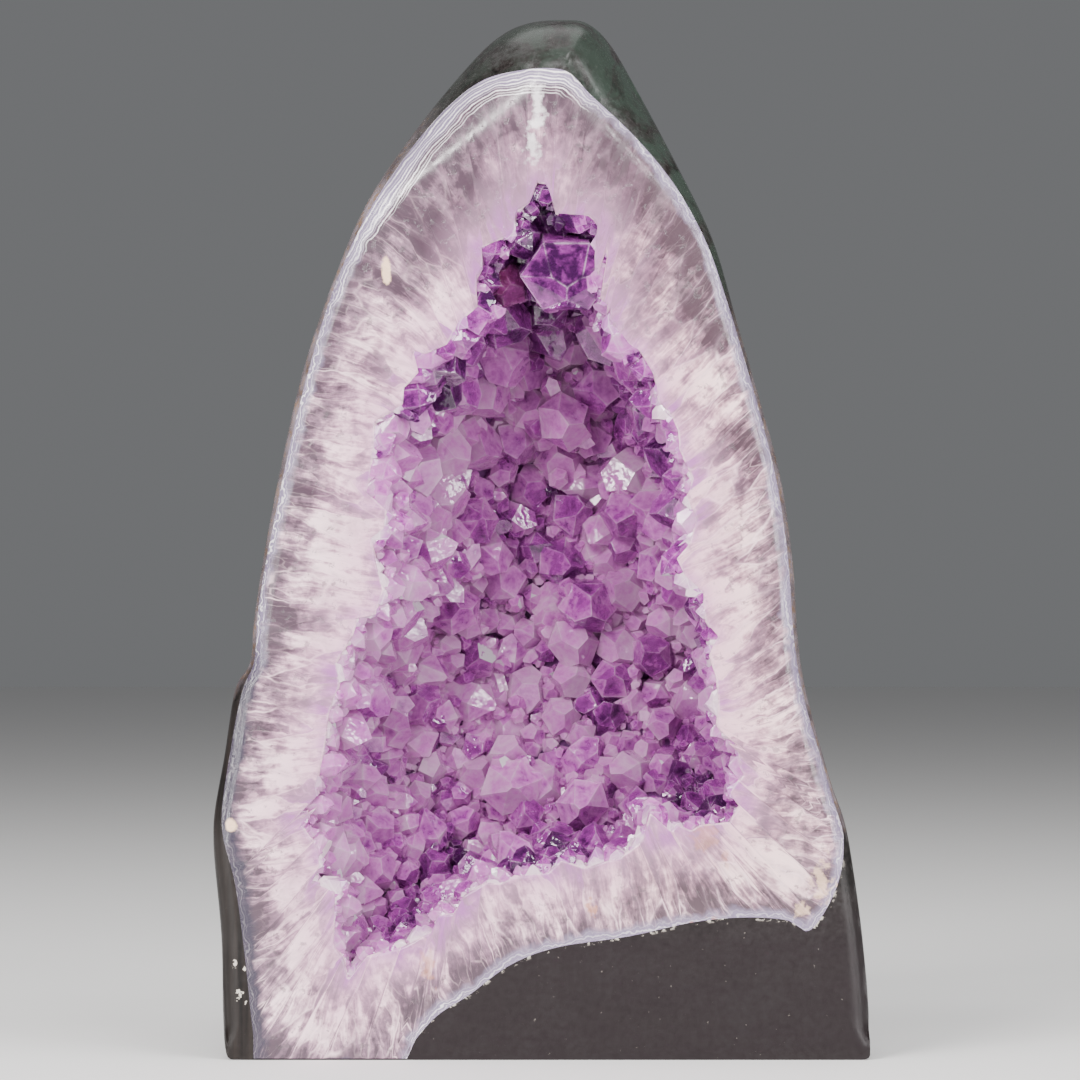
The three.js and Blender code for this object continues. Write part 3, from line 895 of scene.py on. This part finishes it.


# Amethyst: clear quartz that absorbs green most. Each point has its own tone, the colour
# gathers in a dark heart towards its tip, its edges carry a pale painted highlight, each face
# is a random step lighter or darker as a painted reflection, and a few faces carry a painted
# white glint.
def crystalMaterial():
    look = crystalLook
    material, tree, shader, place = newMaterial("amethystPoint")
    tone, tip, inner, facet, redness = (
        attributeNode(tree, name) for name in ("tone", "tip", "inner", "facet", "redness"))
    veil = noiseNode(place, 150.0, 4, 0.6, 0.6)
    cloudy = noiseNode(place, 460.0, 4, 0.62)
    heart = tip.ranged(0.45, 0.95) * veil.ranged(0.35, 0.6)
    mix = tone + veil.ranged(0.3, 0.7, -0.24, 0.24) - heart * 0.16
    # Lighter towards the edges and each face a random step lighter or darker: painted highlight and painted
    # reflection
    mix = mix + inner.ranged(0.0, 0.5, 0.06, -0.04) + facet * 0.13
    mix = mix + cloudy.ranged(0.3, 0.7, -0.09, 0.09)
    colour = rampNode(mix, [(0.05, look["deep"]), (0.36, look["purple"]), (0.62, look["lilac"]),
                            (0.95, look["pale"])])
    # A pale painted highlight along the edges of the faces
    paintedEdgeHighlight = inner.ranged(0.0, 0.09, 0.55, 0.0) * veil.ranged(0.4, 0.6, 0.1, 1.0)
    colour = mixColour(paintedEdgeHighlight, colour, look["paintedEdgeHighlight"])
    colour = mixColour(redness, colour, look["red"])
    # A painted white glint on a few faces near the tip, picked by the face's random value
    paintedGlint = facet.ranged(0.974, 0.976) * (tip + veil).ranged(1.22, 1.26)
    colour = mixColour(paintedGlint, colour, look["paintedGlint"])
    setInputs(shader, {
        "Base Color": colour, "Normal": bumpNode(noiseNode(place, 170.0, 2), 1.0, 0.0005),
        "Roughness": look["roughness"], "IOR": look["ior"],
        "Transmission Weight": look["transmission"]})
    absorb = addNode(tree, "ShaderNodeVolumeAbsorption", {
        "Color": look["absorbColour"], "Density": look["absorbDensity"]})
    setInputs(tree.nodes["Material Output"], {"Volume": absorb})
    return material


# The points that the saw cut along the mouth: milky like the quartz, lilac at the tip, and a
# pale painted highlight along their edges
def rimPointMaterial():
    look = crystalLook
    material, tree, shader, place = newMaterial("sawnPoint")
    tone, tip, inner = (attributeNode(tree, name) for name in ("tone", "tip", "inner"))
    veil = noiseNode(place, 170.0, 4, 0.6, 0.5)
    mix = tip + veil.ranged(0.3, 0.7, -0.5, 0.5) - (tone - 0.5) * 1.8
    colour = mixColour(mix.ranged(0.15, 1.0), look["rimRoot"], look["rimTip"])
    # A pale painted highlight along the edges of the faces
    colour = mixColour(inner.ranged(0.0, 0.12, 0.45, 0.0), colour, look["paintedEdgeHighlight"])
    setInputs(shader, {
        "Base Color": colour, "Roughness": look["rimRoughness"], "IOR": look["ior"],
        "Transmission Weight": look["rimTransmission"]})
    return material


# The lining between the points: the same amethyst, cloudy, pale at the face and painted dark
# purple to near black within, as shade in the gaps between the points
def liningMaterial():
    look = crystalLook
    material, tree, shader, place = newMaterial("amethystLining")
    veil = noiseNode(place, 110.0, 5, 0.65, 0.4)
    # Dark purple to near black: painted shade in the gaps between the points
    colour = rampNode(veil, [(0.35, look["liningPaintedShade"]), (0.6, look["lining"])])
    nearFace = place.parts()[1].ranged(frontY, frontY + look["paleDepth"], 0.85, 0.0)
    colour = mixColour(nearFace, colour, look["liningPale"])
    setInputs(shader, {
        "Base Color": colour, "Roughness": look["liningRoughness"],
        "Specular IOR Level": look["liningSpecular"]})
    return material


# The corners of a quartz point's faces: three large ones and three small ones at the tip, and
# six sides. Numbers 0 to 5 are the root, 6 to 11 the shoulder, 12 to 14 where a small face
# ends, and 15 the tip.
def crystalFaces():
    large = [(15, 12 + (k - 1) % 3, 6 + 2 * k, 6 + (2 * k + 1) % 6, 12 + k) for k in range(3)]
    small = [(12 + k, 6 + (2 * k + 1) % 6, 6 + (2 * k + 2) % 6) for k in range(3)]
    sides = [(k, (k + 1) % 6, 6 + (k + 1) % 6, 6 + k) for k in range(6)]
    return large + small + sides


# Corners of many points, sixteen each and then the middle of each face. Large faces rise from
# every other side at one slope and small ones at a steeper slope, so every face is flat. Then
# each is stretched, spun and set along its axis.
def crystalCorners(place, axis, radius, shoulder, root, slope, steepness, stretch, spin):
    count = len(radius)
    corner = np.radians(60 * np.arange(6))
    ring = np.stack([np.cos(corner), np.sin(corner)], axis=-1)
    flat = radius * math.cos(math.radians(30))
    height = shoulder + slope * flat
    reach = flat * (steepness - 1) / (steepness - 0.5)
    smallSide = np.radians(60 * np.array([1, 3, 5]) + 30)
    local = np.zeros((count, 16, 3))
    local[:, 0:6, :2] = ring * radius[:, None, None]
    local[:, 0:6, 2] = -root[:, None]
    local[:, 6:12, :2] = ring * radius[:, None, None]
    local[:, 6:12, 2] = shoulder[:, None]
    local[:, 12:15, 0] = np.cos(smallSide) * reach[:, None]
    local[:, 12:15, 1] = np.sin(smallSide) * reach[:, None]
    local[:, 12:15, 2] = (height - 0.5 * slope * reach)[:, None]
    local[:, 15, 2] = height
    local[:, :, 0] *= stretch[:, None]
    centres = [local[:, list(face)].mean(axis=1) for face in crystalFaces()]
    local = np.concatenate([local, np.stack(centres, axis=1)], axis=1)
    cos, sin = np.cos(spin)[:, None], np.sin(spin)[:, None]
    x = local[:, :, 0] * cos - local[:, :, 1] * sin
    y = local[:, :, 0] * sin + local[:, :, 1] * cos
    helper = np.where(np.abs(axis[:, 2:3]) < 0.9, [[0, 0, 1]], [[1, 0, 0]])
    side = np.cross(helper, axis)
    side /= np.linalg.norm(side, axis=1, keepdims=True)
    other = np.cross(axis, side)
    return (place[:, None] + x[..., None] * side[:, None] + y[..., None] * other[:, None]
            + local[:, :, 2:3] * axis[:, None])


# One mesh of many points, flat faced: each face is a fan round its middle, and the root is shut
def crystalMesh(name, corners, values, rng):
    count, size = corners.shape[:2]
    fans = [(16 + index, face[k], face[(k + 1) % len(face)])
            for index, face in enumerate(crystalFaces()) for k in range(len(face))]
    fans += [(5, 4, 3), (5, 3, 2), (5, 2, 1), (5, 1, 0)]
    triangles = (np.array(fans)[None] + size * np.arange(count)[:, None, None]).reshape(-1, 3)
    mesh = bpy.data.meshes.new(name)
    mesh.vertices.add(count * size)
    mesh.vertices.foreach_set("co", corners.astype(np.float32).ravel())
    mesh.loops.add(triangles.size)
    mesh.loops.foreach_set("vertex_index", triangles.ravel().astype(np.int32))
    mesh.polygons.add(len(triangles))
    mesh.polygons.foreach_set("loop_start", np.arange(0, triangles.size, 3, dtype=np.int32))
    mesh.update(calc_edges=True)
    mesh.polygons.foreach_set("use_smooth", np.zeros(len(triangles), bool))
    # A random value for each face: the crystal colour takes a painted reflection step and a painted glint
    # from it
    faceOf = np.repeat(np.arange(13), [len(face) for face in crystalFaces()] + [4])
    facet = mesh.attributes.new("facet", "FLOAT", "FACE")
    facet.data.foreach_set("value", rng.uniform(-1, 1, (count, 13))[:, faceOf].astype(np.float32).ravel())
    for key, perCorner in values.items():
        layer = mesh.attributes.new(key, "FLOAT", "POINT")
        layer.data.foreach_set("value", perCorner.astype(np.float32).ravel())
    piece = bpy.data.objects.new(name, mesh)
    bpy.context.scene.collection.objects.link(piece)
    return piece


crust = {
    "seed": 71,
    # generations of points, large to small: radii in millimetres, how close together, tries
    "generations": [(9.5, 12.5, 0.74, 700), (7, 9.5, 0.66, 3000), (4.6, 7, 0.62, 5000),
                    (2.4, 4.6, 0.62, 9000), (1.5, 2.4, 0.75, 5000)],
    "flankFrom": 5.2,
    "flankCount": 3,
    "flankSize": (0.24, 0.46),
    "crownFactor": 1.1,
    "footFactor": 0.68,
    "lean": 0.38,
    "shoulder": (0.1, 0.95),
    "slope": (1.05, 1.35),
    "steepness": (1.08, 2.6),
    "stretch": (0.82, 1.2),
    # points given one by one: x, z, radius, lift, leans right and up, redness, tone, spin
    "known": [
        (9, 325, 16, 26, 0.03, -0.3, 0.0, 0.24, 180), (-16, 310, 9.5, 16, 0.1, 0.0, 0.6, 0.3, 20),
        (25, 308, 8, 12, -0.2, 0.1, 0.0, 0.62, 0), (18, 182, 12, 3, 0.12, -0.25, 0.0, 0.42, 0),
        (-4, 230, 10, 3, -0.1, 0.1, 0.0, 0.6, 40), (37, 254, 8, 5, 0.1, 0.5, 0.0, 0.3, 0),
        (-12.5, 106, 12, 7, 0.0, 0.02, 0.0, 0.7, 15), (18, 100, 10.5, 5, -0.1, -0.1, 0.0, 0.56, 50),
        (8, 240, 11, 5, -0.1, 0.2, 0.0, 0.64, 10), (8, 258, 13, 5, 0.1, -0.1, 0.0, 0.7, 35),
        (-38, 178, 10, 3, 0.2, 0.1, 0.0, 0.5, 25), (-30, 215, 11, 3, 0.3, 0.1, 0.0, 0.48, 5),
        (38, 222, 11, 4, -0.3, -0.3, 0.0, 0.5, 55), (48, 160, 10, 4, -0.3, 0.1, 0.0, 0.45, 30),
        (-50, 140, 9, 3, 0.3, 0.1, 0.0, 0.55, 45), (30, 150, 9, 3, 0.0, 0.2, 0.0, 0.5, 0),
    ],
    # tone of the amethyst by place: x, z, radius, how much paler. The darker ones are painted
    # shadow in the dark gaps behind the rim and high in the hollow; the paler ones are paler
    # crystals, partly painted light where the hollow lies in shade
    "paintedShadeAndPaleSpots": [(-16, 250, 24, 0.14), (40, 236, 18, 0.12), (46, 268, 20, -0.3),
               (28, 288, 16, -0.18), (62, 104, 15, -0.4), (8, 84, 15, -0.35),
               (-36, 74, 12, -0.3), (-62, 52, 14, -0.35), (2, 342, 12, -0.4), (-14, 200, 12, -0.22),
               (44, 148, 22, 0.18), (6, 262, 24, 0.26), (-12, 106, 14, 0.22), (20, 104, 12, 0.12),
               (-50, 190, 20, 0.1)],
    # swellings of the lining: x, z, radius, height
    "mounds": [(8, 258, 26, 8), (-12, 106, 24, 8), (22, 190, 24, 5), (-40, 190, 26, 5),
               (24, 112, 20, 5), (-35, 135, 24, 4), (-70, 90, 24, 5), (40, 225, 20, 4)],
}


# The lining's surface: the hollow's wall brought in by its thickness, with soft mounds
def liningRings():
    angles = np.linspace(1.8, 88, 88)
    insets = 0.6 + (hollow["lining"] - 0.6) * smoothStep(angles, 1, 16)
    rings = np.array([hollowRing(angle, inset) for angle, inset in zip(angles, insets)])
    normal = gridNormals(rings)
    inward = np.array([middle[0], frontY, middle[1]]) - rings
    normal *= np.sign(np.einsum("ijk,ijk->ij", normal, inward))[..., None]
    fade = smoothStep(rings[..., 1], frontY + 2 * mm, frontY + 30 * mm)
    lift = np.zeros(rings.shape[:2])
    for x, z, radius, height in crust["mounds"]:
        away = np.hypot(rings[..., 0] - x * mm, rings[..., 2] - z * mm) / (radius * mm)
        lift += height * np.exp(-2 * away**2)
    lift = lift + 2.0 * fractalNoise(rings, 16 * mm, 5, 2)
    return rings + normal * (lift * fade * mm)[..., None], normal


# Places for points: the known ones, then others tried in random order, large ones first, each
# kept if it stands clear. A row holds place, axis, radius, redness, tone, spin and lift.
def crystalPlaces(rings, normal, rng):
    cell = np.linalg.norm(np.cross(np.gradient(rings, axis=0), np.roll(rings, -1, axis=1) - rings), axis=2)
    chance = (cell / cell.sum()).ravel()
    flatPlace, flatNormal = rings.reshape(-1, 3), normal.reshape(-1, 3)
    kept = []
    for x, z, radius, lift, leanRight, leanUp, red, tone, spin in crust["known"]:
        gap = np.hypot(flatPlace[:, 0] - x * mm, flatPlace[:, 2] - z * mm)
        gap = gap + np.where(flatNormal[:, 1] < -0.15, 0, 0.1)
        axis = np.array([leanRight, -1, leanUp])
        axis = axis / np.linalg.norm(axis)
        foot = flatPlace[gap.argmin()] + axis * lift * mm
        kept.append([*foot, *axis, radius * mm, red, tone, math.radians(spin), lift * mm])
    for low, high, spacing, tries in crust["generations"]:
        picks = rng.choice(len(chance), tries, p=chance)
        sizes = rng.uniform(low, high, tries) * mm
        share = smoothStep(flatPlace[picks, 2], 40 * mm, 330 * mm)
        sizes = sizes * (crust["footFactor"] + (crust["crownFactor"] - crust["footFactor"]) * share)
        sizes = sizes * (0.6 + 0.4 * smoothStep(flatPlace[picks, 1] - frontY, 5 * mm, 26 * mm))
        leans = rng.normal(0, crust["lean"], (tries, 3))
        spins = rng.uniform(0, 2 * math.pi, tries)
        for pick, radius, lean, spin in zip(picks, sizes, leans, spins):
            others = np.array(kept)
            away = np.linalg.norm(others[:, :3] - flatPlace[pick], axis=1)
            if np.all(away > spacing * (others[:, 6] + radius)):
                axis = flatNormal[pick] + lean
                axis = axis / np.linalg.norm(axis)
                kept.append([*flatPlace[pick], *axis, radius, 0.0, -1.0, spin, 0.0])
    return np.array(kept)


# Small points on the flanks of large ones: off the axis by most of the radius, leaning out
def flankPoints(grown, rng):
    parents = np.repeat(grown[grown[:, 6] > crust["flankFrom"] * mm], crust["flankCount"], axis=0)
    count = len(parents)
    axis, radius = parents[:, 3:6], parents[:, 6:7]
    out = np.cross(axis, rng.normal(size=(count, 3)))
    out /= np.linalg.norm(out, axis=1, keepdims=True)
    place = parents[:, :3] + out * radius * rng.uniform(0.7, 1.0, (count, 1))
    place += axis * radius * rng.uniform(-0.1, 0.3, (count, 1))
    lean = axis + out * rng.uniform(0.3, 1.1, (count, 1))
    lean /= np.linalg.norm(lean, axis=1, keepdims=True)
    small = radius * rng.uniform(*crust["flankSize"], (count, 1))
    spin = rng.uniform(0, 2 * math.pi, count)
    return np.column_stack([place, lean, small, np.zeros(count), np.full(count, -1.0), spin, np.zeros(count)])


# The tone of the amethyst by place: painted shade at the top of the hollow, painted light low
# on the left, pale near the face, and painted shadow and paler places where listed
def toneAt(place, rng):
    x, y, z = place.T
    broad = 0.22 * fractalNoise(place, 45 * mm, 91, 2)
    # Darker high in the hollow: painted shade under the crown. Paler low on the left: painted light on the
    # sloping wall
    crownPaintedShade = -0.42 * smoothStep(z, 280 * mm, 324 * mm)
    lowLeftPaintedLight = 0.16 * smoothStep(-x, 10 * mm, 70 * mm) * (1 - smoothStep(z, 180 * mm, 260 * mm))
    facePale = 0.1 * (1 - smoothStep(y, frontY + 3 * mm, frontY + 22 * mm))
    tone = 0.6 + broad + crownPaintedShade + lowLeftPaintedLight + facePale + rng.normal(0, 0.16, len(place))
    # Listed places paler and darker: the darker ones painted shadow, the paler ones partly painted light
    for centreX, centreZ, radius, paler in crust["paintedShadeAndPaleSpots"]:
        away = np.hypot(x - centreX * mm, z - centreZ * mm) / (radius * mm)
        tone += paler * np.exp(-away**2)
    return np.clip(tone, 0.05, 0.78)


# The mesh of a set of points. Nothing may stand in front of the sawn face.
def growCrystals(name, material, place, axis, radius, shoulder, spin, lift, tone, redness, rng):
    count = len(radius)
    corners = crystalCorners(
        place, axis, radius, shoulder * radius, radius * 0.9 + 2.5 * mm + lift,
        rng.uniform(*crust["slope"], count), rng.uniform(*crust["steepness"], count),
        rng.uniform(*crust["stretch"], count), spin)
    sawn = frontY + rng.uniform(0.2, 0.9, count) * mm
    corners[..., 1] = np.maximum(corners[..., 1], sawn[:, None])
    size = corners.shape[1]
    tip = np.repeat([0, 0.4, 0.9, 1], [6, 6, 3, 1])
    tip = np.append(tip, [tip[list(face)].mean() for face in crystalFaces()])
    inner = np.arange(size) >= 16
    values = {"tip": np.tile(tip, (count, 1)), "inner": np.tile(inner, (count, 1)),
              "tone": np.repeat(tone[:, None], size, axis=1),
              "redness": np.repeat(redness[:, None], size, axis=1)}
    piece = crystalMesh(name, corners, values, rng)
    piece.data.materials.append(material)
    return piece


# Points along the mouth, cut through by the saw: they lie in the face and point inwards
def sawnCrystals(rng):
    count = 240
    chance = np.where(mouth[:, 1] > 322 * mm, 0.2, 1.0)
    at = np.sort(rng.choice(len(mouth), count, replace=False, p=chance / chance.sum()))
    along = np.roll(smoothMouth, -4, axis=0)[at] - np.roll(smoothMouth, 4, axis=0)[at]
    inward = np.column_stack([along[:, 1], -along[:, 0]])
    inward /= np.linalg.norm(inward, axis=1, keepdims=True)
    inward *= np.sign(np.einsum("ij,ij->i", inward, middle - smoothMouth[at]))[:, None]
    radius = rng.uniform(2.2, 5.6, count) * mm
    start = mouth[at] - inward * radius[:, None] * rng.uniform(0.6, 1.3, count)[:, None]
    depth = radius * rng.uniform(0.2, 1.3, count)
    place = np.column_stack([start[:, 0], frontY + depth, start[:, 1]])
    axis = np.column_stack([inward[:, 0], rng.uniform(-0.12, 0.45, count), inward[:, 1]])
    axis += rng.normal(0, 0.14, axis.shape)
    axis /= np.linalg.norm(axis, axis=1, keepdims=True)
    tone = 0.62 - 0.5 * smoothStep(place[:, 2], 235 * mm, 310 * mm) + rng.normal(0, 0.2, count)
    return growCrystals("sawnPoints", rimPointMaterial(), place, axis, radius,
                        rng.uniform(0.2, 0.9, count), rng.uniform(0, 2 * math.pi, count),
                        np.zeros(count), tone, np.zeros(count), rng)


# The lining and its points, grown together
def makeCrust():
    rng = np.random.default_rng(crust["seed"])
    surface, normal = liningRings()
    outer = [hollowRing(angle, 0.3) for angle in (88, 78, 66, 52, 38, 24, 12, 5, 1.8)]
    lining = ringMesh("amethystLining", np.concatenate([outer, surface]))
    lining.data.materials.append(liningMaterial())
    grown = crystalPlaces(surface, normal, rng)
    grown = np.vstack([grown, flankPoints(grown, rng)])
    place, axis = grown[:, :3], grown[:, 3:6]
    radius, redness, tone, spin, lift = grown[:, 6:].T
    tone = np.clip(np.where(tone < 0, toneAt(place, rng), tone), 0, 1)
    shoulder = rng.uniform(*crust["shoulder"], len(grown))
    points = growCrystals("amethystPoints", crystalMaterial(), place, axis, radius, shoulder,
                          spin, lift, tone, redness, rng)
    sawn = sawnCrystals(rng)
    print("points grown:", len(grown))
    for piece in (lining, points, sawn):
        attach(piece, "root")
    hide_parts("amethyst_crust")


makeCrust()
print("amethyst made")
